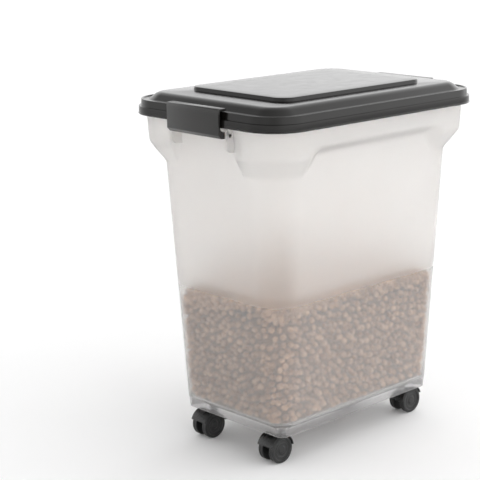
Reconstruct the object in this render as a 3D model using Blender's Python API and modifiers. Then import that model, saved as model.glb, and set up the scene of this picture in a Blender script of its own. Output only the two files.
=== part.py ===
"""Wheeled pet food bin: tub, latched lid with gasket, and four twin-wheel casters.

Metres, +Z up, floor at zero under the wheels. X runs along the long side of the
bin, Y across it. The two latches are on the short ends, at -X and +X.
"""
import math

import bmesh
import bpy
from mathutils import Matrix, Vector

# ---------------------------------------------------------------- overall sizes
LID_LENGTH = 0.438
LID_WIDTH = 0.311
LID_CORNER = 0.054
LID_SEAT = 0.446           # lid skirt edge above the base skirt edge

# ---------------------------------------------------------------- clearances
FIT_GAP = 0.0003           # between faces that touch in use
PIN_GAP = 0.0003           # radial play of a pin in its hole
HOOK_GAP = 0.0008          # hook over the lid lip, so the hook can swing off

# ---------------------------------------------------------------- casters
WHEEL_RADIUS = 0.020
WHEEL_WIDTH = 0.0085
FENDER_GAP = 0.001
FENDER_WALL = 0.002
WEB_HALF = 0.006
WHEEL_SIDE_GAP = 0.0004
TRAIL = 0.0145
AXLE_RADIUS = 0.002
WHEEL_CAP = 0.0015
STEM_RADIUS = 0.003
PLUG_RADIUS = 0.004
COLLAR_RADIUS = 0.0063
BARREL_RADIUS = 0.006
STEM_DEPTH = 0.0185
CASTER_INSET = 0.030       # stem centre in from the base skirt, both ways

# ---------------------------------------------------------------- tub
BASE_CLEAR = 0.002         # base skirt above the top of the caster hood
BASE_CORNER = 0.011
BASE_FLARE = 0.001
SKIRT_WALL = 0.0025
SKIRT_HEIGHT = 0.014
FOOT_CORNER = 0.033
FOOT_HEIGHT = 0.0195
FLOOR_UNDER = 0.015
WALL = 0.0022
FLOOR_COVE = 0.006
NECK_LENGTH = LID_LENGTH - 0.052
NECK_WIDTH = LID_WIDTH - 0.060
NECK_CORNER = 0.051
NECK_HEIGHT = LID_SEAT - 0.068    # where the corner shoulders start to swell out
FOOT_LENGTH = NECK_LENGTH - 0.051
FOOT_WIDTH = NECK_WIDTH - 0.034
BASE_LENGTH = FOOT_LENGTH - 0.018
BASE_WIDTH = FOOT_WIDTH - 0.014
SHOULDER_RISE = 0.029
BAND_RISE = 0.013
RIM_RISE = 0.012           # rim above the lid skirt edge
RIM_DRAFT = 0.0023
SHELF_THICK = 0.003
SHELF_SLOPE = 0.0025
RECESS_MARGIN = 0.004      # recess edge beyond the outer face of the latch ear
RECESS_RUN = 0.003
RECESS_TIP = 0.004
BAND_HALF = LID_LENGTH / 2 - 0.107
BAND_RUN = 0.027
BAND_TIP = 0.020
SLOT_FOOT_SHORT = 0.055
SLOT_FOOT_LONG = 0.100

# ---------------------------------------------------------------- lid
LID_WALL = 0.0022
LOWER_TIER = 0.0113
UPPER_TIER = 0.010
TIER_STEP = 0.0022
LIP_INSET = 0.0052
LIP_WIDTH = 0.0018
GUTTER_INSET = 0.0085
GUTTER_DEPTH = 0.003
DOME_INSET = 0.016
DOME_RUN = 0.0145
DOME_RISE = 0.0122
PANEL_LENGTH = LID_LENGTH - 0.141
PANEL_WIDTH = LID_WIDTH - 0.110
PANEL_CORNER = 0.024
PANEL_RISE = 0.0055
PLUG_WALL = 0.0022
PLUG_DEPTH = 0.014

# ---------------------------------------------------------------- gasket and rim
RIM_INSET = 0.0092         # rim face in from the lid outline
RIM_CORNER = 0.052
CHANNEL_PLAY = 0.0018      # channel face out from the rim face
CHANNEL_WIDTH = 0.005
GASKET_HEIGHT = 0.0033

# ---------------------------------------------------------------- latches
LATCH_WIDTH = 0.1054
LATCH_GAP = 0.0013         # end of the latch to the ear beside it
EAR_THICK = 0.004
EAR_DROP = 0.034
PIVOT_OUT = LID_LENGTH / 2 - 0.0115    # pivot from the middle of the bin
EAR_REACH = PIVOT_OUT + 0.0065
PIVOT_DROP = 0.011         # pivot below the lid skirt edge
PIVOT_RADIUS = 0.0025
LUG_RADIUS = 0.004
PLATE_OUT = 0.0165         # plate face out from the pivot
PLATE_THICK = 0.0036
HOOK_THICK = 0.0039
HOOK_REACH = 0.0023        # nose out from the pivot

RECESS_HALF = LATCH_WIDTH / 2 + LATCH_GAP + EAR_THICK + RECESS_MARGIN

ARC_STEPS = 8
ROUND_STEPS = 28
HOLE_STEPS = 24
MERGE = 0.00001

# ---------------------------------------------------------------- derived heights
HOOD_TOP = 2 * WHEEL_RADIUS + FENDER_GAP + FENDER_WALL
BASE_Z = HOOD_TOP + BASE_CLEAR
SEAT_Z = BASE_Z + LID_SEAT
RIM_Z = SEAT_Z + RIM_RISE
STEP_Z = SEAT_Z + LOWER_TIER
LIP_Z = STEP_Z + UPPER_TIER
GUTTER_Z = LIP_Z - GUTTER_DEPTH
DOME_Z = GUTTER_Z + DOME_RISE
PANEL_Z = DOME_Z + PANEL_RISE
ROOF_Z = RIM_Z + GASKET_HEIGHT + 2 * FIT_GAP
PIVOT_Z = SEAT_Z - PIVOT_DROP
FLOOR_Z = BASE_Z + FLOOR_UNDER + WALL


def clear_scene():
    for item in list(bpy.data.objects):
        bpy.data.objects.remove(item, do_unlink=True)


def new_collection(name):
    group = bpy.data.collections.new(name)
    bpy.context.scene.collection.children.link(group)
    return group


def make_material(name, color, roughness, metallic=0.0, alpha=1.0):
    material = bpy.data.materials.new(name)
    material.use_nodes = True
    shader = material.node_tree.nodes["Principled BSDF"]
    shader.inputs["Base Color"].default_value = (*color, 1.0)
    shader.inputs["Roughness"].default_value = roughness
    shader.inputs["Metallic"].default_value = metallic
    shader.inputs["Alpha"].default_value = alpha
    return material


def mesh_object(name, points, faces, group):
    mesh = bpy.data.meshes.new(name)
    mesh.from_pydata([tuple(point) for point in points], [], faces)
    work = bmesh.new()
    work.from_mesh(mesh)
    bmesh.ops.recalc_face_normals(work, faces=work.faces)
    work.to_mesh(mesh)
    work.free()
    item = bpy.data.objects.new(name, mesh)
    group.objects.link(item)
    return item


def bake(item):
    """Replace an object's mesh by its evaluated one and drop the modifiers."""
    graph = bpy.context.evaluated_depsgraph_get()
    graph.update()
    mesh = bpy.data.meshes.new_from_object(item.evaluated_get(graph))
    item.modifiers.clear()
    item.data = mesh
    work = bmesh.new()
    work.from_mesh(mesh)
    bmesh.ops.remove_doubles(work, verts=work.verts, dist=MERGE)
    bmesh.ops.dissolve_degenerate(work, edges=work.edges, dist=MERGE)
    work.to_mesh(mesh)
    work.free()


def combine(item, tools, operation):
    for tool in tools:
        step = item.modifiers.new(operation.lower(), "BOOLEAN")
        step.operation = operation
        step.solver = "EXACT"
        step.object = tool
    bake(item)


def as_cutter(item):
    cutters.objects.link(item)
    parts.objects.unlink(item)
    item.hide_render = True
    item.display_type = "WIRE"
    return item


def cylinder(name, radius, start, end, steps=HOLE_STEPS):
    """Closed cylinder between two points."""
    axis = Vector(end) - Vector(start)
    work = bmesh.new()
    turn = axis.to_track_quat("Z", "Y").to_matrix().to_4x4()
    middle = Matrix.Translation((Vector(start) + Vector(end)) / 2)
    bmesh.ops.create_cone(
        work, cap_ends=True, segments=steps, radius1=radius, radius2=radius,
        depth=axis.length, matrix=middle @ turn)
    mesh = bpy.data.meshes.new(name)
    work.to_mesh(mesh)
    work.free()
    item = bpy.data.objects.new(name, mesh)
    parts.objects.link(item)
    return item


def extrude_profile(name, profile, half_width):
    """Solid of an XZ profile carried along Y, from -half_width to +half_width."""
    count = len(profile)
    points = [(x, -half_width, z) for x, z in profile]
    points += [(x, half_width, z) for x, z in profile]
    faces = [tuple(range(count)), tuple(range(2 * count - 1, count - 1, -1))]
    for index in range(count):
        after = (index + 1) % count
        faces.append((index, index + count, after + count, after))
    return mesh_object(name, points, faces, parts)


def spin_profile(name, profile, steps):
    """Solid of revolution about Z, from a profile of (radius, height)."""
    mesh = bpy.data.meshes.new(name)
    points = [(radius, 0.0, height) for radius, height in profile]
    edges = [(index, index + 1) for index in range(len(points) - 1)]
    mesh.from_pydata(points, edges, [])
    item = bpy.data.objects.new(name, mesh)
    parts.objects.link(item)
    screw = item.modifiers.new("screw", "SCREW")
    screw.steps = steps
    screw.render_steps = steps
    screw.use_merge_vertices = True
    screw.merge_threshold = MERGE
    screw.use_smooth_shade = True
    bake(item)
    return item


def shade_round(item, limit=35.0):
    """Smooth shading, with edges sharper than the limit kept crisp."""
    mesh = item.data
    mesh.polygons.foreach_set("use_smooth", [True] * len(mesh.polygons))
    work = bmesh.new()
    work.from_mesh(mesh)
    for edge in work.edges:
        if len(edge.link_faces) == 2:
            edge.smooth = edge.calc_face_angle(0.0) < math.radians(limit)
    work.to_mesh(mesh)
    work.free()


def mix(first, second, share):
    return tuple(a + (b - a) * share for a, b in zip(first, second))


def inset_outline(outline, inset):
    length, width, corner = outline
    return (length - 2 * inset, width - 2 * inset, corner - inset)


def lid_outline(inset):
    return inset_outline((LID_LENGTH, LID_WIDTH, LID_CORNER), inset)


def seal_outline(inset):
    """Outline parallel to the rim face, given its inset from the lid outline."""
    length, width, _ = lid_outline(inset)
    return (length, width, RIM_CORNER + RIM_INSET - inset)


def body_outline(height):
    foot = (FOOT_LENGTH, FOOT_WIDTH, FOOT_CORNER)
    neck = (NECK_LENGTH, NECK_WIDTH, NECK_CORNER)
    return mix(foot, neck, (height - FOOT_HEIGHT) / (NECK_HEIGHT - FOOT_HEIGHT))


def rim_outline(height):
    rise = min(1.0, (LID_SEAT - height) / (LID_SEAT - NECK_HEIGHT - SHOULDER_RISE))
    return seal_outline(RIM_INSET + RIM_DRAFT * max(0.0, rise))


def quarter(outline, short_slots, long_slots):
    """Points of one quarter outline, from the middle of the +X end to the +Y side."""
    length, width, corner = outline
    points = [(length / 2, 0.0)]
    points += [(length / 2, slot) for slot in short_slots]
    for step in range(ARC_STEPS + 1):
        angle = math.radians(90.0 * step / ARC_STEPS)
        points.append((length / 2 - corner + corner * math.cos(angle),
                       width / 2 - corner + corner * math.sin(angle)))
    points += [(slot, width / 2) for slot in long_slots]
    points.append((0.0, width / 2))
    return points


def around(points, height):
    """Mirror a quarter outline into a full ring, counted once round."""
    ring = [(x, y) for x, y in points]
    ring += [(-x, y) for x, y in reversed(points[:-1])]
    ring += [(x, -y) for x, y in reversed(ring[1:-1])]
    return [(x, y, height) for x, y in ring]


def loft(name, rings, closed=False):
    """Skin rings of equal point count; ends are capped unless the loft is closed."""
    count = len(rings[0])
    points = [point for ring in rings for point in ring]
    faces = []
    pairs = [(index, index + 1) for index in range(len(rings) - 1)]
    if closed:
        pairs.append((len(rings) - 1, 0))
    for low, high in pairs:
        for index in range(count):
            after = (index + 1) % count
            faces.append((low * count + index, low * count + after,
                          high * count + after, high * count + index))
    if not closed:
        last = (len(rings) - 1) * count
        faces.append(tuple(range(count)))
        faces.append(tuple(range(last + count - 1, last - 1, -1)))
    return mesh_object(name, points, faces, parts)


# ---------------------------------------------------------------- tub
def plain_ring(outline, height):
    points = quarter(outline, (SLOT_FOOT_SHORT, SLOT_FOOT_SHORT + RECESS_RUN),
                     (SLOT_FOOT_LONG + BAND_TIP, SLOT_FOOT_LONG))
    return around(points, BASE_Z + height)


def wall_ring(height, corner, band, recess, inset=0.0):
    """Ring of the tub wall; each share runs from the body line to the rim line."""
    tip = 1.0 - corner
    recess_edge = RECESS_HALF + RECESS_TIP * tip + inset
    recess_far = recess_edge + RECESS_RUN
    band_edge = BAND_HALF + BAND_TIP * tip + inset
    band_far = BAND_HALF + BAND_RUN
    slots = ((recess_edge, recess_far), (band_far, band_edge))
    inner = quarter(inset_outline(body_outline(height), inset), *slots)
    outer = quarter(inset_outline(rim_outline(height), inset), *slots)
    shares = [recess, recess] + [corner] * (ARC_STEPS + 3) + [band, band]
    points = [mix(a, b, share) for a, b, share in zip(inner, outer, shares)]
    return around(points, BASE_Z + height)


def build_tub():
    base = (BASE_LENGTH, BASE_WIDTH, BASE_CORNER)
    flare = inset_outline(base, -BASE_FLARE)
    shoulder = NECK_HEIGHT + SHOULDER_RISE
    band = shoulder + BAND_RISE
    shelf = LID_SEAT - SHELF_THICK
    rim = LID_SEAT + RIM_RISE
    floor = FLOOR_UNDER + WALL
    rings = [
        plain_ring(inset_outline(base, SKIRT_WALL), FLOOR_UNDER),
        plain_ring(inset_outline(base, SKIRT_WALL), 0.0),
        plain_ring(base, 0.0),
        plain_ring(flare, SKIRT_HEIGHT),
        plain_ring(body_outline(FOOT_HEIGHT), FOOT_HEIGHT),
        wall_ring(NECK_HEIGHT, 0.0, 0.0, 0.0),
        wall_ring(shoulder, 1.0, 0.0, 0.0),
        wall_ring(band, 1.0, 1.0, 0.0),
        wall_ring(shelf - SHELF_SLOPE, 1.0, 1.0, 0.0),
        wall_ring(shelf, 1.0, 1.0, 1.0),
        wall_ring(rim, 1.0, 1.0, 1.0),
        wall_ring(rim, 1.0, 1.0, 1.0, WALL),
        wall_ring(LID_SEAT, 1.0, 1.0, 1.0, WALL),
        wall_ring(LID_SEAT - WALL / 2, 1.0, 1.0, 0.0, WALL),
        wall_ring(band + WALL / 2, 1.0, 1.0, 0.0, WALL),
        wall_ring(shoulder + WALL / 2, 1.0, 0.0, 0.0, WALL),
        wall_ring(NECK_HEIGHT + WALL / 2, 0.0, 0.0, 0.0, WALL),
        plain_ring(inset_outline(body_outline(floor + FLOOR_COVE / 2), WALL),
                   floor + FLOOR_COVE / 2),
        plain_ring(inset_outline(body_outline(floor), WALL + FLOOR_COVE), floor),
    ]
    tub = loft("tub", rings)
    additions = [stem_boss(x, y) for x, y in caster_places()]
    additions += [latch_ear(end, side) for end in (-1, 1) for side in (-1, 1)]
    combine(tub, [as_cutter(item) for item in additions], "UNION")
    holes = [stem_socket(x, y) for x, y in caster_places()]
    holes += [pivot_hole(end) for end in (-1, 1)]
    combine(tub, [as_cutter(item) for item in holes], "DIFFERENCE")
    shade_round(tub)
    tub.data.materials.append(make_material("tub_plastic", (0.86, 0.86, 0.84), 0.35,
                                            alpha=0.55))
    return tub


def caster_places():
    reach_x = BASE_LENGTH / 2 - CASTER_INSET
    reach_y = BASE_WIDTH / 2 - CASTER_INSET
    return [(x * reach_x, y * reach_y) for x in (-1, 1) for y in (-1, 1)]


BOSS_RADIUS = PLUG_RADIUS + 0.003
BOSS_BOTTOM = HOOD_TOP + FIT_GAP + 0.003 + FIT_GAP
SOCKET_TOP = BASE_Z + FLOOR_UNDER - 0.0015


def stem_boss(x, y):
    top = BASE_Z + FLOOR_UNDER + WALL / 2
    return cylinder("boss", BOSS_RADIUS, (x, y, BOSS_BOTTOM), (x, y, top))


def stem_socket(x, y):
    return cylinder("socket", PLUG_RADIUS + PIN_GAP, (x, y, BOSS_BOTTOM - 0.002),
                    (x, y, SOCKET_TOP))


def latch_ear(end, side):
    """Ear that carries one end of a latch pivot, in the recess under the rim."""
    top = LID_SEAT - SHELF_THICK / 2 - 0.0007
    low = LID_SEAT - EAR_DROP - SHELF_THICK / 2
    root_top = body_outline(top)[0] / 2 - WALL / 2
    root_low = body_outline(low)[0] / 2 - WALL / 2
    profile = [
        (root_low, BASE_Z + low),
        (EAR_REACH - 0.006, BASE_Z + low + 0.002),
        (EAR_REACH, BASE_Z + low + 0.008),
        (EAR_REACH, BASE_Z + top - 0.002),
        (EAR_REACH - 0.002, BASE_Z + top),
        (root_top, BASE_Z + top),
    ]
    ear = extrude_profile("ear", [(end * x, z) for x, z in profile], EAR_THICK / 2)
    middle = LATCH_WIDTH / 2 + LATCH_GAP + EAR_THICK / 2
    ear.location = (0.0, side * middle, 0.0)
    return ear


def pivot_hole(end):
    reach = LATCH_WIDTH / 2 + LATCH_GAP + EAR_THICK + 0.001
    return cylinder("pivot_hole", PIVOT_RADIUS + PIN_GAP,
                    (end * PIVOT_OUT, -reach, PIVOT_Z), (end * PIVOT_OUT, reach, PIVOT_Z))


# ---------------------------------------------------------------- lid and gasket
def lid_ring(inset, height):
    return around(quarter(lid_outline(inset), (), ()), height)


def seal_ring(inset, height):
    return around(quarter(seal_outline(inset), (), ()), height)


def panel_ring(inset, height):
    outline = inset_outline((PANEL_LENGTH, PANEL_WIDTH, PANEL_CORNER), inset)
    return around(quarter(outline, (), ()), height)


def channel_insets():
    outer = RIM_INSET - CHANNEL_PLAY
    return outer, outer + CHANNEL_WIDTH


def build_lid():
    channel_out, channel_in = channel_insets()
    plug_bottom = SEAT_Z + RIM_RISE + GASKET_HEIGHT - PLUG_DEPTH
    plug_in = channel_in + PLUG_WALL
    dome_edge = DOME_INSET + DOME_RUN
    under = GUTTER_Z - LID_WALL
    rings = [
        panel_ring(0.003, PANEL_Z),
        panel_ring(0.0005, PANEL_Z - 0.001),
        panel_ring(0.0, DOME_Z),
        lid_ring(dome_edge, DOME_Z),
        lid_ring(dome_edge - 0.0022, DOME_Z - 0.0009),
        lid_ring(DOME_INSET, GUTTER_Z),
        lid_ring(GUTTER_INSET, GUTTER_Z),
        lid_ring(LIP_INSET + LIP_WIDTH, LIP_Z),
        lid_ring(LIP_INSET, LIP_Z),
        lid_ring(LIP_INSET - 0.0008, LIP_Z - 0.0008),
        lid_ring(TIER_STEP + 0.0018, STEP_Z),
        lid_ring(TIER_STEP - 0.0004, STEP_Z),
        lid_ring(0.001, STEP_Z - 0.0008),
        lid_ring(0.0007, SEAT_Z + 0.003),
        lid_ring(0.0, SEAT_Z + 0.001),
        lid_ring(0.0003, SEAT_Z),
        lid_ring(LID_WALL + 0.0002, SEAT_Z),
        lid_ring(LID_WALL + 0.0008, STEP_Z - LID_WALL),
        seal_ring(channel_out, STEP_Z - LID_WALL + 0.0003),
        seal_ring(channel_out, ROOF_Z),
        seal_ring(channel_in, ROOF_Z),
        seal_ring(channel_in + 0.0006, plug_bottom),
        seal_ring(plug_in, plug_bottom),
        seal_ring(plug_in, under),
        lid_ring(DOME_INSET + LID_WALL * 0.7, under),
        lid_ring(dome_edge + LID_WALL * 0.6, DOME_Z - LID_WALL),
        panel_ring(LID_WALL, DOME_Z - LID_WALL),
        panel_ring(LID_WALL, PANEL_Z - LID_WALL),
    ]
    lid = loft("lid", rings)
    shade_round(lid, 40.0)
    lid.data.materials.append(make_material("lid_plastic", (0.035, 0.03, 0.028), 0.3))
    return lid


def build_gasket():
    channel_out, channel_in = channel_insets()
    outer = channel_out + FIT_GAP
    inner = channel_in - FIT_GAP
    low = RIM_Z + FIT_GAP
    high = low + GASKET_HEIGHT
    rounding = GASKET_HEIGHT / 4
    rings = [
        seal_ring(outer, high - rounding),
        seal_ring(outer, low + rounding),
        seal_ring(outer + rounding, low),
        seal_ring(inner - rounding, low),
        seal_ring(inner, low + rounding),
        seal_ring(inner, high - rounding),
        seal_ring(inner - rounding, high),
        seal_ring(outer + rounding, high),
    ]
    gasket = loft("gasket", rings, closed=True)
    shade_round(gasket, 50.0)
    gasket.data.materials.append(make_material("gasket_rubber", (0.5, 0.5, 0.5), 0.6))
    return gasket


# ---------------------------------------------------------------- latches
def build_latch(name, end):
    """Latch with its origin on the pivot; the profile is (out, up) from there."""
    hook_low = LIP_Z + HOOK_GAP - PIVOT_Z
    hook_high = hook_low + HOOK_THICK
    face = PLATE_OUT
    back = PLATE_OUT - PLATE_THICK
    profile = [
        (0.0, -LUG_RADIUS),
        (back - 0.004, -LUG_RADIUS + 0.0008),
        (face - 0.0035, -0.0022),
        (face - 0.001, 0.0005),
        (face - 0.0003, 0.004),
        (face, hook_low - 0.006),
        (face - 0.0006, hook_high - 0.003),
        (face - 0.0022, hook_high - 0.0008),
        (face - 0.005, hook_high),
        (HOOK_REACH + 0.002, hook_high),
        (HOOK_REACH + 0.0004, hook_high - 0.0008),
        (HOOK_REACH, hook_high - 0.0022),
        (HOOK_REACH + 0.0003, hook_low),
        (back - 0.0014, hook_low),
        (back, hook_low - 0.0014),
        (back, 0.010),
        (back - 0.0012, 0.0062),
        (back - 0.006, LUG_RADIUS + 0.0003),
        (0.0, LUG_RADIUS),
    ]
    for step in range(1, 6):
        angle = math.radians(90.0 + 30.0 * step)
        profile.append((LUG_RADIUS * math.cos(angle), LUG_RADIUS * math.sin(angle)))
    latch = extrude_profile(name, [(end * x, z) for x, z in profile], LATCH_WIDTH / 2)
    reach = LATCH_WIDTH / 2 + LATCH_GAP + EAR_THICK - FIT_GAP
    pin = cylinder("pin", PIVOT_RADIUS, (0.0, -reach, 0.0), (0.0, reach, 0.0))
    combine(latch, [as_cutter(pin)], "UNION")
    latch.location = (end * PIVOT_OUT, 0.0, PIVOT_Z)
    shade_round(latch)
    latch.data.materials.append(make_material(name + "_plastic", (0.035, 0.03, 0.028),
                                              0.32))
    return latch


# ---------------------------------------------------------------- casters
def build_stem(name, x, y):
    low = HOOD_TOP - STEM_DEPTH
    collar_low = HOOD_TOP + FIT_GAP
    collar_high = BOSS_BOTTOM - FIT_GAP
    top = SOCKET_TOP - 0.001
    profile = [
        (0.0, top),
        (PLUG_RADIUS - 0.001, top),
        (PLUG_RADIUS, top - 0.001),
        (PLUG_RADIUS, collar_high),
        (COLLAR_RADIUS, collar_high),
        (COLLAR_RADIUS, collar_low),
        (STEM_RADIUS, collar_low),
        (STEM_RADIUS, low + 0.001),
        (STEM_RADIUS - 0.001, low),
        (0.0, low),
    ]
    stem = spin_profile(name, profile, 20)
    shade_round(stem)
    stem.location = (x, y, 0.0)
    stem.data.materials.append(make_material(name + "_steel", (0.6, 0.6, 0.62), 0.3, 1.0))
    return stem


def arc(radius, start, stop, steps):
    points = []
    for step in range(steps + 1):
        angle = math.radians(start + (stop - start) * step / steps)
        points.append((radius * math.cos(angle), radius * math.sin(angle)))
    return points


def build_hood(name, x, y, facing):
    """Caster hood with its origin on the swivel axis, at floor level."""
    inner = WHEEL_RADIUS + FENDER_GAP
    outer = inner + FENDER_WALL
    fender_half = WEB_HALF + WHEEL_SIDE_GAP + WHEEL_WIDTH + FIT_GAP
    fender = arc(outer, 8.0, 160.0, 14) + arc(inner, 160.0, 8.0, 14)
    web = arc(inner + FENDER_WALL / 2, 10.0, 158.0, 12) + [(-0.007, -0.006),
                                                         (-0.003, -0.008),
                                                         (0.003, -0.008),
                                                         (0.008, -0.006)]

    def placed(points):
        return [(facing * (px - TRAIL), pz + WHEEL_RADIUS) for px, pz in points]

    hood = extrude_profile(name, placed(fender), fender_half)
    middle = extrude_profile("web", placed(web), WEB_HALF)
    barrel = cylinder("barrel", BARREL_RADIUS - FIT_GAP, (0.0, 0.0, WHEEL_RADIUS),
                      (0.0, 0.0, HOOD_TOP), 20)
    combine(hood, [as_cutter(middle), as_cutter(barrel)], "UNION")
    reach = WEB_HALF + 0.001
    axle_x = -facing * TRAIL
    bore = cylinder("axle_bore", AXLE_RADIUS + PIN_GAP, (axle_x, -reach, WHEEL_RADIUS),
                    (axle_x, reach, WHEEL_RADIUS), 20)
    hole = cylinder("stem_bore", STEM_RADIUS + PIN_GAP,
                    (0.0, 0.0, HOOD_TOP - STEM_DEPTH - 0.0005),
                    (0.0, 0.0, HOOD_TOP + 0.001), 20)
    combine(hood, [as_cutter(bore), as_cutter(hole)], "DIFFERENCE")
    shade_round(hood)
    hood.location = (x, y, 0.0)
    hood.data.materials.append(make_material(name + "_plastic", (0.02, 0.02, 0.022), 0.4))
    return hood


def build_axle(name, x, y):
    half = WEB_HALF + WHEEL_SIDE_GAP + WHEEL_WIDTH - WHEEL_CAP - FIT_GAP
    axle = cylinder(name, AXLE_RADIUS, (0.0, -half, 0.0), (0.0, half, 0.0), 16)
    axle.location = (x, y, WHEEL_RADIUS)
    shade_round(axle)
    axle.data.materials.append(make_material(name + "_steel", (0.6, 0.6, 0.62), 0.25, 1.0))
    return axle


def build_wheel(name, x, y, side):
    """Wheel with its axis on Y; the dished face with the hub cap looks outward."""
    rim = WHEEL_RADIUS
    width = WHEEL_WIDTH
    bore = AXLE_RADIUS + PIN_GAP
    profile = [
        (0.0, width - 0.0002),
        (0.0055, width - 0.0002),
        (0.0065, width - 0.0014),
        (rim - 0.0050, width - 0.0014),
        (rim - 0.0042, width),
        (rim - 0.0012, width),
        (rim, width - 0.0012),
        (rim, 0.0008),
        (rim - 0.0008, 0.0),
        (bore, 0.0),
        (bore, width - WHEEL_CAP),
        (0.0, width - WHEEL_CAP),
    ]
    wheel = spin_profile(name, profile, ROUND_STEPS)
    wheel.data.transform(Matrix.Rotation(-side * math.pi / 2, 4, "X"))
    shade_round(wheel)
    wheel.location = (x, y + side * (WEB_HALF + WHEEL_SIDE_GAP), WHEEL_RADIUS)
    wheel.data.materials.append(make_material(name + "_nylon", (0.025, 0.025, 0.027), 0.45))
    return wheel


CASTER_NAMES = {(-1, -1): "caster_lf", (-1, 1): "caster_lb",
                (1, -1): "caster_rf", (1, 1): "caster_rb"}


def build_casters():
    for x, y in caster_places():
        end = int(math.copysign(1, x))
        label = CASTER_NAMES[(end, int(math.copysign(1, y)))]
        axle_x = x + end * TRAIL
        build_stem(label + "_stem", x, y)
        build_hood(label + "_hood", x, y, -end)
        build_axle(label + "_axle", axle_x, y)
        build_wheel(label + "_wheel_front", axle_x, y, -1)
        build_wheel(label + "_wheel_back", axle_x, y, 1)


clear_scene()
parts = new_collection("pet_food_bin")
cutters = new_collection("cutters")
build_tub()
build_lid()
build_gasket()
build_latch("latch_left", -1)
build_latch("latch_right", 1)
build_casters()
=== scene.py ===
import math
import random

import bmesh
import bpy
from mathutils import Matrix, Vector, noise


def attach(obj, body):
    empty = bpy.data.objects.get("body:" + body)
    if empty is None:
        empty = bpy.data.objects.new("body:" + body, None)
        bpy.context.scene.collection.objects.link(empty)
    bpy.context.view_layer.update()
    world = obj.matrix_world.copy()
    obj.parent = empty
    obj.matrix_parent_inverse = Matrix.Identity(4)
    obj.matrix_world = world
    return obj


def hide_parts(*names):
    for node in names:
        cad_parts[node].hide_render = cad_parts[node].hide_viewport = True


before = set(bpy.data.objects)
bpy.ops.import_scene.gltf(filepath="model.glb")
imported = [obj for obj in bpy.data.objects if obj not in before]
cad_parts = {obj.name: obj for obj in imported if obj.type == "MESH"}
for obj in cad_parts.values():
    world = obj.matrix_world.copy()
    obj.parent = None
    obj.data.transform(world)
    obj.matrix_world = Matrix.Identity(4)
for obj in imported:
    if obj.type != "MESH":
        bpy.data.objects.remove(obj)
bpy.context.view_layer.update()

SCENE = bpy.context.scene

# ---------------------------------------------------------------- sizes in metres, and counts
LID_LENGTH, LID_WIDTH, LID_CORNER = 0.438, 0.311, 0.054
LID_SEAT = 0.446
HOOD_TOP = 0.043
BASE_Z = 0.045
WALL = 0.0022
NECK = (0.386, 0.251, 0.051)     # every outline is length, width and corner radius
FOOT = (0.335, 0.217, 0.033)
BASE = (0.317, 0.203, 0.011)
FOOT_HEIGHT = 0.0195
NECK_HEIGHT = LID_SEAT - 0.068
FLOOR_HEIGHT = 0.0172
RIM_INSET, RIM_CORNER = 0.0092, 0.052
SEAT_Z = BASE_Z + LID_SEAT
RIM_Z = SEAT_Z + 0.012
STEP_Z = SEAT_Z + 0.0113
LIP_Z = STEP_Z + 0.010
GUTTER_Z = LIP_Z - 0.003
DOME_Z = GUTTER_Z + 0.0122
PANEL_Z = DOME_Z + 0.0055
ROOF_Z = RIM_Z + 0.0039
PANEL = (0.292, 0.196, 0.022)    # 5 mm under the CAD panel each way
LATCH_WIDTH = 0.1054
PIVOT_OUT = 0.2075
PIVOT_Z = SEAT_Z - 0.011
EAR_THICK = 0.004
LATCH_GAP = 0.0013
PIN_RADIUS = 0.0025
WHEEL_RADIUS = 0.020
TRAIL = 0.0145
CASTERS = {"caster_lf": (-1, -1), "caster_lb": (-1, 1), "caster_rf": (1, -1), "caster_rb": (1, 1)}
CASTER_X, CASTER_Y = 0.1285, 0.0715
PELLET = 0.0056                  # pellet radius before it is varied
PELLET_PACK = 0.0092             # closest spacing of the pellets against the wall
PELLET_STEP = 0.0098             # spacing of the pellets on top
WALL_TRIES = 90000               # places tried for a pellet against the wall
FOOD_LINE = (0.192, 0.212)       # above the base rim: the wall turns from clear to frosted
ARC_STEPS = 16
MERGE = 0.00001
IMAGE = 480                      # pixels across the picture
RGBA_A, RGBA_B, RGBA_OUT = 6, 7, 2   # colour sockets of a Mix node


# ---------------------------------------------------------------- materials
def base_material(name, roughness):
    material = bpy.data.materials.new(name)
    material.use_nodes = True
    shader = material.node_tree.nodes["Principled BSDF"]
    shader.inputs["Roughness"].default_value = roughness
    return material, material.node_tree, shader


def add_noise(tree, scale, detail=3.0, roughness=0.55, stretch=(1.0, 1.0, 1.0)):
    """Noise in the piece's own coordinates, in metres; returns its value socket."""
    origin = tree.nodes.new("ShaderNodeTexCoord")
    shape = tree.nodes.new("ShaderNodeMapping")
    shape.inputs["Scale"].default_value = stretch
    tree.links.new(origin.outputs["Object"], shape.inputs["Vector"])
    texture = tree.nodes.new("ShaderNodeTexNoise")
    texture.inputs["Scale"].default_value = scale
    texture.inputs["Detail"].default_value = detail
    texture.inputs["Roughness"].default_value = roughness
    tree.links.new(shape.outputs["Vector"], texture.inputs["Vector"])
    return texture.outputs["Fac"]


def add_ramp(tree, value, stops):
    ramp = tree.nodes.new("ShaderNodeValToRGB")
    ramp.color_ramp.elements[0].position = stops[0][0]
    ramp.color_ramp.elements[0].color = stops[0][1]
    ramp.color_ramp.elements[1].position = stops[-1][0]
    ramp.color_ramp.elements[1].color = stops[-1][1]
    for position, color in stops[1:-1]:
        extra = ramp.color_ramp.elements.new(position)
        extra.color = color
    tree.links.new(value, ramp.inputs["Fac"])
    return ramp.outputs["Color"]


def add_range(tree, value, low, high, start=0.3, stop=0.7):
    mapped = tree.nodes.new("ShaderNodeMapRange")
    mapped.inputs["From Min"].default_value = start
    mapped.inputs["From Max"].default_value = stop
    mapped.inputs["To Min"].default_value = low
    mapped.inputs["To Max"].default_value = high
    tree.links.new(value, mapped.inputs["Value"])
    return mapped.outputs["Result"]


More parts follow.
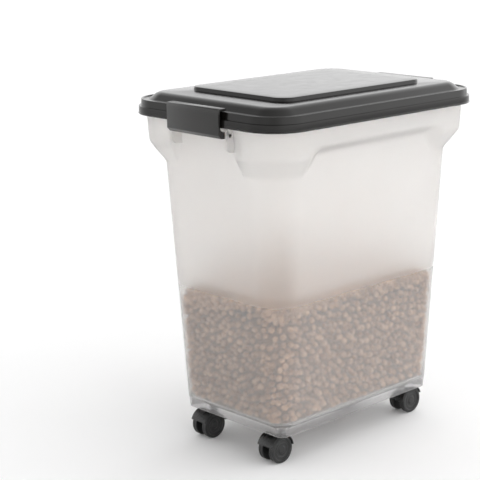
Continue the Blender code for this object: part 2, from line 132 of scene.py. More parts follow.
def add_sum(tree, first, second):
    add = tree.nodes.new("ShaderNodeMath")
    add.operation = "ADD"
    tree.links.new(first, add.inputs[0])
    tree.links.new(second, add.inputs[1])
    return add.outputs["Value"]


def add_bump(tree, shader, layers):
    """Stack bump layers of (height socket, strength, depth in metres)."""
    normal = None
    for height, strength, depth in layers:
        bump = tree.nodes.new("ShaderNodeBump")
        bump.inputs["Strength"].default_value = strength
        bump.inputs["Distance"].default_value = depth
        tree.links.new(height, bump.inputs["Height"])
        if normal is not None:
            tree.links.new(normal, bump.inputs["Normal"])
        normal = bump.outputs["Normal"]
    tree.links.new(normal, shader.inputs["Normal"])


def grey(value, warmth=0.0):
    return (value * (1 + warmth), value, value * (1 - warmth), 1.0)


def moulded_plastic(name, dark, light, rough_low, rough_high, grain=900.0, grain_depth=0.00001,
                    refraction=1.49):
    """Coloured moulded plastic: slow tone drift, patchy gloss and a fine grain."""
    material, tree, shader = base_material(name, rough_low)
    slow = add_noise(tree, 14.0, 4.0)
    patch = add_noise(tree, 55.0, 5.0, 0.6)
    fine = add_noise(tree, grain, 2.0)
    waves = add_noise(tree, 9.0, 1.0)
    tree.links.new(add_ramp(tree, slow, [(0.3, dark), (0.7, light)]), shader.inputs["Base Color"])
    tree.links.new(add_range(tree, patch, rough_low, rough_high), shader.inputs["Roughness"])
    add_bump(tree, shader, [(fine, 0.06, grain_depth), (waves, 0.03, 0.0002)])
    shader.inputs["IOR"].default_value = refraction
    return material


def frosted_plastic(name):
    """Milky translucent plastic: part white, blurred most above the food, darker at the base with
    painted shade.
    """
    material, tree, shader = base_material(name, 0.22)
    cloud = add_noise(tree, 7.0, 3.0)
    patch = add_noise(tree, 30.0, 4.0)
    flow = add_noise(tree, 18.0, 2.0, 0.5, (1.0, 1.0, 0.12))
    origin = tree.nodes.new("ShaderNodeTexCoord")
    split = tree.nodes.new("ShaderNodeSeparateXYZ")
    tree.links.new(origin.outputs["Object"], split.inputs["Vector"])
    # painted shade: the base colour is multiplied down to 0.66 at the bottom of the skirt, where
    # shade falls under the step
    skirt = add_range(tree, split.outputs["Z"], 0.0, 1.0, BASE_Z + 0.010, BASE_Z + 0.020)
    tone_and_base_shade = tree.nodes.new("ShaderNodeMix")
    tone_and_base_shade.data_type = "RGBA"
    tone_and_base_shade.blend_type = "MULTIPLY"
    tone_and_base_shade.inputs["Factor"].default_value = 1.0
    tree.links.new(
        add_ramp(tree, cloud, [(0.3, (0.89, 0.875, 0.86, 1)), (0.7, (0.92, 0.91, 0.90, 1))]),
        tone_and_base_shade.inputs[RGBA_A])
    tree.links.new(add_ramp(tree, skirt, [(0.0, (0.66, 0.66, 0.67, 1)), (1.0, (1, 1, 1, 1))]),
                   tone_and_base_shade.inputs[RGBA_B])
    tree.links.new(tone_and_base_shade.outputs[RGBA_OUT], shader.inputs["Base Color"])
    rise = add_range(tree, split.outputs["Z"], 0.0, 0.42, *(BASE_Z + z for z in FOOD_LINE))
    rough = add_sum(tree, rise, add_range(tree, patch, 0.19, 0.24))
    tree.links.new(rough, shader.inputs["Roughness"])
    add_bump(tree, shader, [(flow, 0.08, 0.0005)])
    shader.inputs["IOR"].default_value = 1.35
    shader.inputs["Transmission Weight"].default_value = 0.85
    return material


def brushed_metal(name):
    material, tree, shader = base_material(name, 0.3)
    streak = add_noise(tree, 160.0, 5.0, 0.6, (1.0, 1.0, 12.0))
    slow = add_noise(tree, 90.0, 3.0)
    tree.links.new(
        add_ramp(tree, slow, [(0.3, (0.42, 0.42, 0.43, 1)), (0.7, (0.62, 0.62, 0.64, 1))]),
        shader.inputs["Base Color"])
    tree.links.new(add_range(tree, streak, 0.22, 0.42), shader.inputs["Roughness"])
    add_bump(tree, shader, [(streak, 0.15, 0.00002)])
    shader.inputs["Metallic"].default_value = 1.0
    return material


def foam_rubber(name):
    material, tree, shader = base_material(name, 0.7)
    pores = add_noise(tree, 1200.0, 4.0, 0.7)
    slow = add_noise(tree, 40.0, 3.0)
    tree.links.new(
        add_ramp(tree, slow, [(0.3, (0.30, 0.30, 0.30, 1)), (0.7, (0.40, 0.40, 0.39, 1))]),
        shader.inputs["Base Color"])
    tree.links.new(add_range(tree, pores, 0.6, 0.85), shader.inputs["Roughness"])
    add_bump(tree, shader, [(pores, 0.4, 0.0001)])
    return material


def food_material(name, dark, light):
    """Baked dry food: crumbly surface, brown to tan from pellet to pellet."""
    material, tree, shader = base_material(name, 0.75)
    tone = add_noise(tree, 75.0, 2.0)
    crumb = add_noise(tree, 900.0, 5.0, 0.7)
    tree.links.new(
        add_ramp(tree, tone, [(0.32, dark), (0.5, halfway(dark, light)), (0.68, light)]),
        shader.inputs["Base Color"])
    tree.links.new(add_range(tree, crumb, 0.65, 0.9), shader.inputs["Roughness"])
    add_bump(tree, shader, [(crumb, 0.5, 0.0003)])
    return material


def halfway(first, second):
    return tuple((a + b) / 2 for a, b in zip(first, second))


# ---------------------------------------------------------------- mesh helpers
def place(name, data):
    """Put mesh or camera data into the scene as a new object."""
    item = bpy.data.objects.new(name, data)
    SCENE.collection.objects.link(item)
    return item


def edit_mesh(mesh, change):
    """Run change on the mesh as a bmesh."""
    work = bmesh.new()
    work.from_mesh(mesh)
    change(work)
    work.to_mesh(mesh)
    work.free()


def face_outward(work):
    bmesh.ops.recalc_face_normals(work, faces=work.faces)


def mesh_object(name, points, faces, smooth=True):
    mesh = bpy.data.meshes.new(name)
    mesh.from_pydata([tuple(point) for point in points], [], faces)
    edit_mesh(mesh, face_outward)
    mesh.polygons.foreach_set("use_smooth", [smooth] * len(mesh.polygons))
    return place(name, mesh)


def bake(item):
    """Replace the mesh with what its modifiers make of it."""
    graph = bpy.context.evaluated_depsgraph_get()
    graph.update()
    mesh = bpy.data.meshes.new_from_object(item.evaluated_get(graph))
    item.modifiers.clear()
    item.data = mesh
    edit_mesh(mesh, lambda work: bmesh.ops.remove_doubles(work, verts=work.verts, dist=MERGE))


def combine(item, tools, operation):
    """Join with or cut by other objects, which are then removed."""
    for tool in tools:
        step = item.modifiers.new(operation.lower(), "BOOLEAN")
        step.operation = operation
        step.solver = "EXACT"
        step.object = tool
    bake(item)
    for tool in tools:
        bpy.data.objects.remove(tool, do_unlink=True)


def shade(item, limit):
    """Smooth shading, but sharp at edges over the limit in degrees."""
    def mark_sharp(work):
        for edge in work.edges:
            if len(edge.link_faces) == 2:
                edge.smooth = edge.calc_face_angle(0.0) < math.radians(limit)

    mesh = item.data
    mesh.polygons.foreach_set("use_smooth", [True] * len(mesh.polygons))
    edit_mesh(mesh, mark_sharp)


def soften(item, width, segments=2):
    """Round the edges that turn by more than 60 degrees."""
    bevel = item.modifiers.new("bevel", "BEVEL")
    bevel.width = width
    bevel.segments = segments
    bevel.limit_method = "ANGLE"
    bevel.angle_limit = math.radians(60.0)
    bevel.harden_normals = False
    bake(item)


def cylinder(name, radius, start, end, steps=48):
    axis = Vector(end) - Vector(start)
    work = bmesh.new()
    turn = axis.to_track_quat("Z", "Y").to_matrix().to_4x4()
    middle = Matrix.Translation((Vector(start) + Vector(end)) / 2)
    bmesh.ops.create_cone(work, cap_ends=True, segments=steps, radius1=radius,
                          radius2=radius, depth=axis.length, matrix=middle @ turn)
    mesh = bpy.data.meshes.new(name)
    work.to_mesh(mesh)
    work.free()
    return place(name, mesh)


def extrude_profile(name, profile, half_width):
    """Solid with an X-Z profile, from -half_width to half_width in Y."""
    count = len(profile)
    points = [(x, -half_width, z) for x, z in profile]
    points += [(x, half_width, z) for x, z in profile]
    faces = [tuple(range(count)), tuple(range(2 * count - 1, count - 1, -1))]
    for index in range(count):
        after = (index + 1) % count
        faces.append((index, index + count, after + count, after))
    return mesh_object(name, points, faces, smooth=False)


def spin_profile(name, profile, steps):
    """Solid of revolution about Z from (radius, height) points."""
    mesh = bpy.data.meshes.new(name)
    points = [(radius, 0.0, height) for radius, height in profile]
    mesh.from_pydata(points, [(i, i + 1) for i in range(len(points) - 1)], [])
    item = place(name, mesh)
    screw = item.modifiers.new("screw", "SCREW")
    screw.steps = steps
    screw.render_steps = steps
    screw.use_merge_vertices = True
    screw.merge_threshold = MERGE
    bake(item)
    edit_mesh(item.data, face_outward)
    return item


def fillet(points, radii, steps=3):
    """Round the inner corners of an open polyline; radii match the points."""
    made = [points[0]]
    for index in range(1, len(points) - 1):
        here = Vector(points[index])
        before = Vector(points[index - 1]) - here
        after = Vector(points[index + 1]) - here
        radius = radii[index]
        if radius <= 0:
            made.append(tuple(here))
            continue
        angle = before.angle(after)
        cut = radius / math.tan(angle / 2)
        cut = min(cut, before.length * 0.48, after.length * 0.48)
        start = here + before.normalized() * cut
        stop = here + after.normalized() * cut
        for step in range(steps + 1):
            t = step / steps
            made.append(tuple(start * (1 - t) ** 2 + here * 2 * t * (1 - t) + stop * t ** 2))
    made.append(points[-1])
    return made


def mix(first, second, share):
    """Two outlines, points or tuples, mixed by share."""
    return tuple(a + (b - a) * share for a, b in zip(first, second))


def inset_outline(outline, inset):
    return (outline[0] - 2 * inset, outline[1] - 2 * inset, outline[2] - inset)


def lid_outline(inset):
    return inset_outline((LID_LENGTH, LID_WIDTH, LID_CORNER), inset)


def seal_outline(inset):
    length, width, _ = lid_outline(inset)
    return (length, width, RIM_CORNER + RIM_INSET - inset)


def quarter(outline, short_slots=(), long_slots=(), steps=ARC_STEPS):
    """A quarter of the outline, from the +X end to the +Y side, with extra points on each."""
    length, width, corner = outline
    points = [(length / 2, 0.0)]
    points += [(length / 2, slot) for slot in short_slots]
    for step in range(steps + 1):
        angle = math.radians(90.0 * step / steps)
        points.append((length / 2 - corner + corner * math.cos(angle),
                       width / 2 - corner + corner * math.sin(angle)))
    points += [(slot, width / 2) for slot in long_slots]
    points.append((0.0, width / 2))
    return points


def around(points, height):
    """Mirror a quarter into a whole ring at a height."""
    ring = [(x, y) for x, y in points]
    ring += [(-x, y) for x, y in reversed(points[:-1])]
    ring += [(x, -y) for x, y in reversed(ring[1:-1])]
    return [(x, y, height) for x, y in ring]


def loft(name, rings):
    """A closed solid through rings with the same number of points."""
    count = len(rings[0])
    points = [point for ring in rings for point in ring]
    faces = []
    for low in range(len(rings) - 1):
        for index in range(count):
            after = (index + 1) % count
            faces.append((low * count + index, low * count + after,
                          (low + 1) * count + after, (low + 1) * count + index))
    last = (len(rings) - 1) * count
    faces.append(tuple(range(count)))
    faces.append(tuple(range(last + count - 1, last - 1, -1)))
    return mesh_object(name, points, faces)


def coat(item, material):
    item.data.materials.clear()
    item.data.materials.append(material)


def coat_node(node, material):
    """New material on a CAD node that is shown as it is."""
    coat(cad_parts[node], material)


def finish_piece(item, material, body, *nodes, slot=None):
    """Material, the CAD nodes that the piece replaces, and the body it rides on. The slot is not
    used.
    """
    coat(item, material)
    if nodes:
        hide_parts(*nodes)
    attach(item, body)


# ---------------------------------------------------------------- tub
def soft_ramp(t, ease=0.16):
    """Straight ramp from 0 to 1 with rounded ends."""
    if t <= -ease:
        return 0.0
    if t < ease:
        return (t + ease) ** 2 / (4 * ease)
    if t <= 1 - ease:
        return t
    if t < 1 + ease:
        return 1.0 - (1 + ease - t) ** 2 / (4 * ease)
    return 1.0


def body_outline(height):
    return mix(FOOT, NECK, (height - FOOT_HEIGHT) / (NECK_HEIGHT - FOOT_HEIGHT))


def rim_outline(height):
    rise = max(0.0, min(1.0, (LID_SEAT - height) / 0.039))
    return seal_outline(RIM_INSET + 0.0023 * rise)


SPREAD = [-0.16, 0.0, 0.16, 0.33, 0.5, 0.67, 0.84, 1.0, 1.16]   # points over a soft step


def wall_ring(height, inset=0.0, recess=0.0):
    """One ring of the wall: shoulders and band swell with the height, the recess by its share."""
    corner = soft_ramp((height - NECK_HEIGHT) / 0.029)
    band = soft_ramp((height - NECK_HEIGHT - 0.029) / 0.013, 0.25)
    tip = 1.0 - corner
    recess_edge = 0.062 + 0.004 * tip + inset
    band_edge = 0.112 + 0.020 * tip + inset
    band_far = 0.139
    short = [0.02, 0.04, 0.053] + [recess_edge + 0.003 * t for t in SPREAD]
    long = [band_far + 0.001 * inset + (band_edge - band_far) * t for t in SPREAD]
    long += [0.08, 0.04]
    inner_shape = inset_outline(body_outline(height), inset)
    limit = inner_shape[0] / 2 - inner_shape[2] - 0.001
    long = [min(value, limit - 0.00005 * order) for order, value in enumerate(long)]
    limit = inner_shape[1] / 2 - inner_shape[2] - 0.0005
    short = [min(value, limit - 0.00005 * (len(short) - order))
             for order, value in enumerate(short)]
    inner = quarter(inner_shape, short, long)
    outer = quarter(inset_outline(rim_outline(height), inset), short, long)
    shares = [recess] * 4 + [recess + (corner - recess) * soft_ramp(t) for t in SPREAD]
    shares += [corner] * (ARC_STEPS + 1)
    shares += [corner + (band - corner) * soft_ramp(t) for t in SPREAD]
    shares += [band] * 3
    points = [mix(a, b, share) for a, b, share in zip(inner, outer, shares)]
    return around(points, BASE_Z + height)


def plain_ring(outline, height):
    """Ring with as many points as wall_ring gives, but no swelling."""
    length, width, corner = outline
    top = min(0.066, width / 2 - corner - 0.001)
    side = min(0.139, length / 2 - corner - 0.001)
    short = [top * (order + 1) / 12 for order in range(12)]
    long = [side * (11 - order) / 11 for order in range(11)]
    return around(quarter(outline, short, long), BASE_Z + height)


def build_tub(material):
    """Skirt, wall and rim, down the inside to the floor, then bosses, ribs, ears and holes."""
    flare = inset_outline(BASE, -0.001)
    skirt = ((0.0045, 0.015), (0.0029, 0.0144), (0.0025, 0.0125), (0.0023, 0.0006),
             (0.0018, 0.0), (0.0007, 0.0), (0.0001, 0.0005))
    rings = [plain_ring(inset_outline(BASE, inset), height) for inset, height in skirt]
    rings += [plain_ring(flare, 0.0125), plain_ring(inset_outline(flare, -0.0003), 0.0138)]
    rings += [plain_ring(mix(flare, body_outline(FOOT_HEIGHT), share), height)
              for share, height in ((0.35, 0.0155), (0.8, 0.0180), (0.97, 0.0200))]
    heights = [0.023, 0.06, 0.12, 0.18, 0.24, 0.30, 0.35, 0.368, 0.3733, 0.376, 0.3785, 0.381,
               0.386, 0.391, 0.396, 0.401, 0.4035, 0.406, 0.4085, 0.411, 0.414, 0.417, 0.420,
               0.4225, 0.425, 0.432, 0.438]
    rings += [wall_ring(height) for height in heights]
    rings += [wall_ring(0.4406), wall_ring(0.4412, 0.0, 0.25),
              wall_ring(0.4418, 0.0, 0.55), wall_ring(0.4424, 0.0, 0.85),
              wall_ring(0.4432, 0.0, 1.0), wall_ring(0.4575, 0.0, 1.0),
              wall_ring(0.4580, 0.0004, 1.0), wall_ring(0.4580, WALL - 0.0004, 1.0),
              wall_ring(0.4575, WALL, 1.0), wall_ring(0.4462, WALL, 1.0),
              wall_ring(0.4456, WALL, 0.7), wall_ring(0.4450, WALL, 0.25),
              wall_ring(0.4444, WALL)]
    rings += [wall_ring(height + 0.0011, WALL) for height in reversed(heights)
              if height < 0.441]
    low = FLOOR_HEIGHT
    rings += [plain_ring(inset_outline(body_outline(low + 0.004), WALL + 0.0006), low + 0.0042),
              plain_ring(inset_outline(body_outline(low), WALL + 0.0022), low + 0.0014),
              plain_ring(inset_outline(body_outline(low), WALL + 0.0052), low + 0.0002),
              plain_ring(inset_outline(body_outline(low), WALL + 0.0080), low)]
    tub = loft("tub_shell", rings)
    additions = []           # caster bosses with their ribs, then the latch ears
    for x, y in caster_places():
        additions.append(cylinder("boss", 0.007, (x, y, BASE_Z + 0.0015),
                                  (x, y, BASE_Z + 0.0161)))
        for angle in (0, 90, 180, 270):
            rib = extrude_profile("rib", [(0.006, 0.0), (0.013, 0.0098), (0.013, 0.0116),
                                          (0.006, 0.0116)], 0.0007)
            rib.matrix_world = (Matrix.Translation((x, y, BASE_Z + 0.0042))
                                @ Matrix.Rotation(math.radians(angle), 4, "Z"))
            additions.append(rib)
    for end in (-1, 1):
        additions += [latch_ear(end, side) for side in (-1, 1)]
    bpy.context.view_layer.update()
    combine(tub, additions, "UNION")
    holes = [cylinder("socket", 0.0043, (x, y, BASE_Z - 0.002), (x, y, BASE_Z + 0.0135), 32)
             for x, y in caster_places()]
    reach = LATCH_WIDTH / 2 + LATCH_GAP + EAR_THICK + 0.001
    holes += [cylinder("hole", PIN_RADIUS + 0.0003, (end * PIVOT_OUT, -reach, PIVOT_Z),
                       (end * PIVOT_OUT, reach, PIVOT_Z), 32) for end in (-1, 1)]
    combine(tub, holes, "DIFFERENCE")
    shade(tub, 38.0)
    finish_piece(tub, material, "bin", "tub", slot="tub_plastic")


def caster_places():
    return [(x * CASTER_X, y * CASTER_Y) for x, y in CASTERS.values()]


def latch_ear(end, side):
    """Ear on the short end that holds one pin of the latch."""
    top, low = 0.4438, 0.4105
    root_top = body_outline(top)[0] / 2 - WALL / 2
    root_low = body_outline(low)[0] / 2 - WALL / 2
    profile = [(root_low, low), (0.2075, low + 0.0018), (0.2115, low + 0.0044),
               (0.2135, low + 0.0085), (0.2139, top - 0.003), (0.2132, top - 0.001),
               (0.2122, top), (root_top, top)]
    ear = extrude_profile("ear", [(end * x, BASE_Z + z) for x, z in profile],
                          EAR_THICK / 2)
    middle = LATCH_WIDTH / 2 + LATCH_GAP + EAR_THICK / 2
    ear.matrix_world = Matrix.Translation((0.0, side * middle, 0.0))
    return ear


# ---------------------------------------------------------------- lid
def build_lid(material):
    """Panel, dome, gutter and tiers, then the channel for rim and gasket, and the inside."""
    panel = fillet([(0.05, PANEL_Z), (0.0003, PANEL_Z - 0.0001), (0.0, DOME_Z), (-0.006, DOME_Z)],
                   [0, 0.0022, 0.0012, 0], 4)
    edge = 0.0285            # dome edge in from the lid outline
    lid = fillet([(edge + 0.030, DOME_Z), (edge, DOME_Z - 0.0002), (0.016, LIP_Z - 0.0013),
                  (0.0082, LIP_Z - 0.0013), (0.0072, LIP_Z), (0.0047, LIP_Z), (0.0040, STEP_Z),
                  (0.0010, STEP_Z), (0.0007, SEAT_Z + 0.0025), (0.0, SEAT_Z + 0.0008),
                  (0.0008, SEAT_Z), (0.0024, SEAT_Z)],
                 [0, 0.018, 0.0050, 0.0008, 0.0005, 0.0006, 0.0005, 0.0006, 0.002, 0.0005,
                  0.0003, 0], 4)
    rings = [around(quarter(inset_outline(PANEL, 0.020)), PANEL_Z)]
    rings += [around(quarter(inset_outline(PANEL, inset)), height)
              for inset, height in panel[1:-1]]
    rings += [around(quarter(lid_outline(inset)), height) for inset, height in lid[1:]]
    seal = [(0.0074, STEP_Z - 0.0019), (0.0074, ROOF_Z), (0.0124, ROOF_Z),
            (0.0130, SEAT_Z + 0.0019), (0.0134, SEAT_Z + 0.0013), (0.0142, SEAT_Z + 0.0013),
            (0.0146, SEAT_Z + 0.0019), (0.0146, GUTTER_Z - 0.0022)]
    rings.append(around(quarter(lid_outline(0.0030)), STEP_Z - 0.0022))
    rings += [around(quarter(seal_outline(inset)), height) for inset, height in seal]
    under = [(0.0175, GUTTER_Z - 0.0022), (0.0313, DOME_Z - 0.0026),
             (0.0345, DOME_Z - 0.0026)]
    rings += [around(quarter(lid_outline(inset)), height) for inset, height in under]
    rings += [around(quarter(inset_outline(PANEL, 0.0018)), DOME_Z - 0.0024),
              around(quarter(inset_outline(PANEL, 0.0022)), PANEL_Z - 0.0022)]
    item = loft("lid_shell", rings)
    shade(item, 30.0)
    finish_piece(item, material, "lid", "lid", slot="lid_plastic")
    mark = spin_profile("lid_gate_mark", [(0.0, -0.0001), (0.0008, -0.0001), (0.0013, -0.00025),
                                          (0.0018, -0.0002), (0.0021, -0.0005)], 24)
    mark.matrix_world = Matrix.Translation((0, 0, PANEL_Z + 0.0001))
    shade(mark, 60.0)
    finish_piece(mark, material, "lid", slot="lid_plastic")


# ---------------------------------------------------------------- latches
def build_latch(name, end, material):
    """Bar that hooks over the lid lip, with its two pivot pins."""
    hook_low = LIP_Z + 0.0008 - PIVOT_Z
    hook_high = hook_low + 0.0039
    outline = [(0.0, -0.004), (0.0060, -0.004), (0.0112, -0.0038), (0.0164, 0.0012),
               (0.0165, hook_low - 0.003), (0.0160, hook_high), (0.0023, hook_high),
               (0.0025, hook_low), (0.0129, hook_low), (0.0129, 0.0095), (0.0085, 0.0043),
               (0.0, 0.004)]
    radii = [0, 0, 0.0016, 0.0016, 0.004, 0.0028, 0.0014, 0.0004, 0.0012, 0.0030, 0.002, 0]
    profile = fillet(outline, radii, 4)
    for step in range(1, 10):
        angle = math.radians(90.0 + 18.0 * step)
        profile.append((0.004 * math.cos(angle), 0.004 * math.sin(angle)))
    item = extrude_profile(name + "_body", [(end * x, z) for x, z in profile],
                           LATCH_WIDTH / 2)
    soften(item, 0.0005)
    reach = LATCH_WIDTH / 2 + LATCH_GAP + EAR_THICK - 0.0003
    pin = cylinder("pin", PIN_RADIUS, (0, -reach, 0), (0, reach, 0), 32)
    soften(pin, 0.0004)
    combine(item, [pin], "UNION")
    shade(item, 40.0)
    item.matrix_world = Matrix.Translation((end * PIVOT_OUT, 0.0, PIVOT_Z))
    finish_piece(item, material, name, name, slot="latch_plastic")


# ---------------------------------------------------------------- casters
def arc(radius, start, stop, steps):
    return [(radius * math.cos(math.radians(start + (stop - start) * s / steps)),
             radius * math.sin(math.radians(start + (stop - start) * s / steps)))
            for s in range(steps + 1)]


def build_hood(label, x, y, end, material):
    """Fender over both wheels, a web between them and the barrel that swivels on the stem."""
    fender = arc(0.023, 8.0, 160.0, 40) + arc(0.021, 160.0, 8.0, 40)
    web = arc(0.0222, 10.0, 158.0, 32) + [(-0.0085, -0.003), (-0.006, -0.0066), (0.0, -0.0082),
                                          (0.006, -0.0066), (0.010, -0.003)]

    def placed(points):
        return [(-end * (px - TRAIL), pz + WHEEL_RADIUS) for px, pz in points]

    hood = extrude_profile(label + "_housing", placed(fender), 0.0152)
    soften(hood, 0.0006, 3)
    middle = extrude_profile("web", placed(web), 0.006)
    soften(middle, 0.0005)
    barrel = cylinder("barrel", 0.0057, (0, 0, WHEEL_RADIUS), (0, 0, HOOD_TOP))
    soften(barrel, 0.0005)
    combine(hood, [middle, barrel], "UNION")
    bore = cylinder("bore", 0.0023, (end * TRAIL, -0.007, WHEEL_RADIUS),
                    (end * TRAIL, 0.007, WHEEL_RADIUS), 32)
    hole = cylinder("hole", 0.0033, (0, 0, HOOD_TOP - 0.019), (0, 0, HOOD_TOP + 0.001), 32)
    combine(hood, [bore, hole], "DIFFERENCE")
    shade(hood, 40.0)
    hood.matrix_world = Matrix.Translation((x, y, 0))
    finish_piece(hood, material, label, label + "_hood", slot="hood_plastic")


def build_wheel(label, side_name, x, y, side, material):
    """Grooved wheel with a dished outer face, closed over the end of the axle."""
    rim, width = WHEEL_RADIUS, 0.0085
    outline = [(0.0, width - 0.0003), (0.0052, width - 0.0002), (0.0066, width - 0.0016),
               (0.0100, width - 0.0017), (0.0108, width - 0.0011), (0.0116, width - 0.0017),
               (rim - 0.0050, width - 0.0015), (rim - 0.0042, width), (rim - 0.0009, width),
               (rim, width - 0.0012), (rim, 0.0052), (rim - 0.0006, 0.0046),
               (rim - 0.0006, 0.0038), (rim, 0.0032), (rim, 0.0010), (rim - 0.0009, 0.0),
               (0.0023, 0.0), (0.0023, width - 0.0015), (0.0, width - 0.0015)]
    radii = [0, 0.0006, 0.0006, 0.0003, 0.0004, 0.0003, 0.0005, 0.0006, 0.0007, 0.0007, 0.0003,
             0.0002, 0.0002, 0.0003, 0.0006, 0.0006, 0, 0, 0]
    wheel = spin_profile(f"{label}_roller_{side_name}", fillet(outline, radii, 3), 64)
    wheel.data.transform(Matrix.Rotation(-side * math.pi / 2, 4, "X"))
    shade(wheel, 45.0)
    wheel.matrix_world = Matrix.Translation((x, y + side * 0.0064, WHEEL_RADIUS))
    node = f"{label}_wheel_{side_name}"
    finish_piece(wheel, material, node, node, slot="wheel_nylon")


# ---------------------------------------------------------------- food
def pile_height(x, y):
    """Top of the food above the base rim: nearly level, gently uneven."""
    front = along(x, [(-0.165, 0.181), (-0.104, 0.183), (-0.073, 0.187), (-0.01, 0.190),
                      (0.022, 0.191), (0.09, 0.1865), (0.165, 0.182)])
    back = along(x, [(-0.17, 0.175), (-0.05, 0.198), (0.17, 0.192)])
    share = (y + 0.11) / 0.21
    height = front + (back - front) * share
    height += 0.014 * math.exp(-((x + 0.17) ** 2 + (y + 0.035) ** 2) / 0.055 ** 2)
    return height + 0.0025 * noise.noise(Vector((x * 22.0, y * 22.0, 3.0)))


def along(value, stops):
    """Straight lines between (position, height) stops."""
    for (a, low), (b, high) in zip(stops, stops[1:]):
        if value <= b:
            return low + (high - low) * max(0.0, (value - a) / (b - a))
    return stops[-1][1]


def pellet_template(level):
    """Points and faces of a ball of radius 1."""
    work = bmesh.new()
    bmesh.ops.create_icosphere(work, subdivisions=level, radius=1.0)
    points = [v.co.copy() for v in work.verts]
    faces = [[v.index for v in face.verts] for face in work.faces]
    work.free()
    return points, faces


def inside_ring(height, gap, steps, level=0.0):
    """Ring at a gap inside the wall as it is at a height, placed at a level."""
    return around(quarter(inside_outline(height, gap), steps=steps), level)


def inside_outline(height, gap):
    return inset_outline(body_outline(height), WALL + gap)


def wall_places(rng):
    """Spots against the wall, no two closer than PELLET_PACK, up to the top of the food."""
    path = inside_ring(0.1, 0.0, 10)
    lengths = [math.hypot(bx - ax, by - ay)
               for (ax, ay, _), (bx, by, _) in zip(path, path[1:] + path[:1])]
    perimeter = sum(lengths)
    cells, places = {}, []
    for _ in range(WALL_TRIES):
        along_wall = rng.uniform(0.0, perimeter)
        height = rng.uniform(FLOOR_HEIGHT + 0.0062, 0.205)
        cell = (int(along_wall / PELLET_PACK), int(height / PELLET_PACK))
        near = [spot for i in (-1, 0, 1) for j in (-1, 0, 1)
                for spot in cells.get((cell[0] + i, cell[1] + j), ())]
        if any((along_wall - u) ** 2 + (height - v) ** 2 < PELLET_PACK ** 2 for u, v in near):
            continue
        cells.setdefault(cell, []).append((along_wall, height))
        rest, index = along_wall, 0
        while index < len(lengths) - 1 and rest > lengths[index]:
            rest -= lengths[index]
            index += 1
        ring = inside_ring(height, 0.0064, 10)
        px, py, _ = mix(ring[index], ring[(index + 1) % len(ring)], rest / lengths[index])
        if height < pile_height(px, py) - 0.002:
            places.append((px, py, height))
    return places


def top_places(drop):
    """Spots over the whole top of the food, in staggered rows, at a drop below it."""
    length, width, _ = inside_outline(0.187, 0.0062)
    corner = 0.036
    places = []
    for j in range(int(width / (PELLET_STEP * 0.87)) + 1):
        for i in range(int(length / PELLET_STEP) + 1):
            px = -length / 2 + (i + 0.5 * (j % 2)) * PELLET_STEP
            py = -width / 2 + j * PELLET_STEP * 0.87
            dx = max(0.0, abs(px) - (length / 2 - corner))
            dy = max(0.0, abs(py) - (width / 2 - corner))
            if abs(px) <= length / 2 and math.hypot(dx, dy) <= corner:
                places.append((px, py, pile_height(px, py) - drop))
    return places


def build_food(material, shaded_core_material):
    """Pellets in one layer at the walls and two on top, around a plain core coloured dark as
    painted shade, so the gaps between pellets read as shadow.
    """
    rng = random.Random(11)
    coarse, fine = pellet_template(1), pellet_template(2)
    points, faces = [], []
    # places, pellet shape, spread of the centres, and how far the top pellets rise or sink
    for places, template, jitter, lift in ((wall_places(rng), coarse, 0.0007, None),
                                           (top_places(0.0045), fine, 0.0013, (-0.001, 0.0018)),
                                           (top_places(0.0110), coarse, 0.0013, None)):
        for px, py, height in places:
            size = PELLET * rng.uniform(0.84, 1.06)
            flat = rng.uniform(0.72, 0.95)
            turn = Matrix.Rotation(rng.uniform(0, math.tau), 3, Vector(
                (rng.gauss(0, 1), rng.gauss(0, 1), rng.gauss(0, 1))).normalized())
            shape = turn @ Matrix.Diagonal((size, size * rng.uniform(0.88, 1.0), size * flat))
            centre = Vector((px + rng.gauss(0, jitter) * 0.5, py + rng.gauss(0, jitter) * 0.5,
                             BASE_Z + height + rng.gauss(0, jitter)))
            if lift:
                centre.z += rng.uniform(*lift)
            start = len(points)
            points += [centre + shape @ point for point in template[0]]
            faces += [[start + index for index in face] for face in template[1]]
    finish_piece(mesh_object("dry_food", points, faces), material, "bin")
    # painted shade: a plain solid inside the pile in darker food colours stands in for the shadow
    # between the pellets
    rings = [inside_ring(height, 0.0085, 8, BASE_Z + height)
             for height in (FLOOR_HEIGHT + 0.001, 0.06, 0.12, 0.168)]
    rings.append(inside_ring(0.172, 0.022, 8, BASE_Z + 0.1695))
    finish_piece(loft("dry_food_shaded_core", rings), shaded_core_material, "bin")


# ---------------------------------------------------------------- build
FROST = frosted_plastic("frosted_tub")
DARK = moulded_plastic("dark_lid", grey(0.004, 0.15), grey(0.006, 0.12), 0.15, 0.20,
                       refraction=1.37)
LATCH = moulded_plastic("dark_latch", grey(0.012, 0.06), grey(0.016, 0.05), 0.22, 0.27, 320.0,
                        0.000005)
HOOD = moulded_plastic("black_hood", grey(0.007), grey(0.011), 0.22, 0.34, 400.0, 0.00001)
WHEEL = moulded_plastic("black_wheel", grey(0.008), grey(0.013), 0.28, 0.42, 400.0, 0.00002)
METAL = brushed_metal("plated_steel")
SEAL = foam_rubber("grey_gasket")
FOOD = food_material("kibble", (0.34, 0.18, 0.10, 1), (0.78, 0.50, 0.32, 1))
# painted shade: darker food colours for the core inside the pile, standing in for the shadow
# between pellets
SHADED_CORE = food_material("kibble_shadow", (0.20, 0.11, 0.065, 1), (0.28, 0.16, 0.10, 1))

build_tub(FROST)
build_lid(DARK)
build_latch("latch_left", -1, LATCH)
build_latch("latch_right", 1, LATCH)
for label, (sx, sy) in CASTERS.items():
    cx, cy = sx * CASTER_X, sy * CASTER_Y
    build_hood(label, cx, cy, sx, HOOD)
    for side_name, side in (("front", -1), ("back", 1)):
        build_wheel(label, side_name, cx + sx * TRAIL, cy, side, WHEEL)
    coat_node(label + "_stem", METAL)
    coat_node(label + "_axle", METAL)
coat_node("gasket", SEAL)
build_food(FOOD, SHADED_CORE)


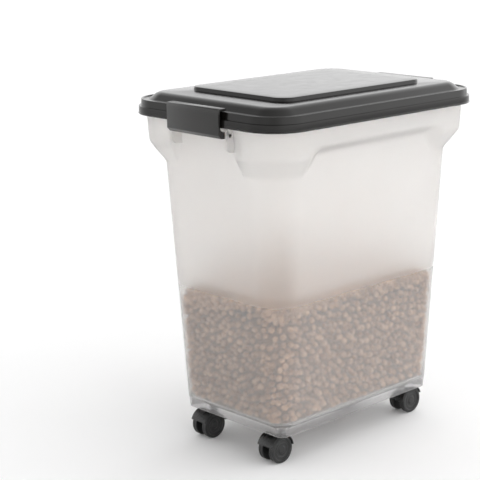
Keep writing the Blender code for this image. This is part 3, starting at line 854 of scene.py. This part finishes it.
# ---------------------------------------------------------------- stage and light
def build_stage():
    floor = mesh_object("floor", [(-14, -14, 0), (14, -14, 0), (14, 14, 0), (-14, 14, 0)],
                        [(0, 1, 2, 3)])
    material, tree, shader = base_material("floor", 0.9)
    speckle = add_noise(tree, 3.0, 2.0)
    tree.links.new(add_ramp(tree, speckle, [(0.2, grey(0.93)), (0.8, grey(0.95))]),
                   shader.inputs["Base Color"])
    shader.inputs["Specular IOR Level"].default_value = 0.1
    floor.data.materials.append(material)
    build_world()


def aim(azimuth, elevation):
    """Direction from the bin out toward the given azimuth and elevation, in degrees."""
    a, e = math.radians(azimuth), math.radians(elevation)
    return (math.sin(a) * math.cos(e), -math.cos(a) * math.cos(e), math.sin(e))


def add_lobe(tree, coords, direction, start, stop, low, high):
    """Light that goes from low to high as the surround nears a direction."""
    dot = tree.nodes.new("ShaderNodeVectorMath")
    dot.operation = "DOT_PRODUCT"
    dot.inputs[1].default_value = direction
    tree.links.new(coords, dot.inputs[0])
    ramp = tree.nodes.new("ShaderNodeMapRange")
    ramp.interpolation_type = "SMOOTHSTEP"
    for name, value in (("From Min", start), ("From Max", stop), ("To Min", low),
                        ("To Max", high)):
        ramp.inputs[name].default_value = value
    tree.links.new(dot.outputs["Value"], ramp.inputs["Value"])
    return ramp.outputs["Result"]


def build_world():
    """Soft white surround, bright low down, dim overhead and brighter on the right.

    Two darker patches give the lid and the latches something to reflect.
    """
    world = bpy.data.worlds.new("studio")
    world.use_nodes = True
    tree = world.node_tree
    coords = tree.nodes.new("ShaderNodeTexCoord").outputs["Generated"]
    total = None
    for lobe in (add_lobe(tree, coords, aim(0.0, 90.0), 0.38, 0.72, 1.85, 0.80),
                 add_lobe(tree, coords, aim(60.0, 10.0), -0.9, 0.9, -0.50, 0.50),
                 add_lobe(tree, coords, aim(134.0, 14.0), 0.84, 0.98, 0.0, -0.6),
                 add_lobe(tree, coords, aim(-45.0, 25.0), 0.86, 0.98, 0.0, -0.5)):
        total = lobe if total is None else add_sum(tree, total, lobe)
    tree.links.new(total, tree.nodes["Background"].inputs["Color"])
    SCENE.world = world


def build_camera():
    """Long lens, looking slightly down from the near left corner."""
    data = bpy.data.cameras.new("camera")
    camera = place("camera", data)
    azimuth, elevation, roll = map(math.radians, (-45.5415, 14.2622, -0.2883))
    back = Vector((math.sin(azimuth) * math.cos(elevation),
                   -math.cos(azimuth) * math.cos(elevation), math.sin(elevation)))
    right = Vector((math.cos(azimuth), math.sin(azimuth), 0.0))
    up = back.cross(right)
    across = right * math.cos(roll) + up * math.sin(roll)
    upright = up * math.cos(roll) - right * math.sin(roll)
    turn = Matrix((across, upright, back)).transposed()
    camera.matrix_world = Matrix.Translation((-1.4791, -1.4433, 0.7970)) @ turn.to_4x4()
    data.sensor_width = 36.0
    data.lens = 106.573
    data.shift_x = -64.37 / IMAGE
    data.shift_y = 11.91 / IMAGE
    data.clip_start = 0.05
    data.clip_end = 100.0
    SCENE.camera = camera


build_stage()
build_camera()
SCENE.view_settings.view_transform = "Standard"
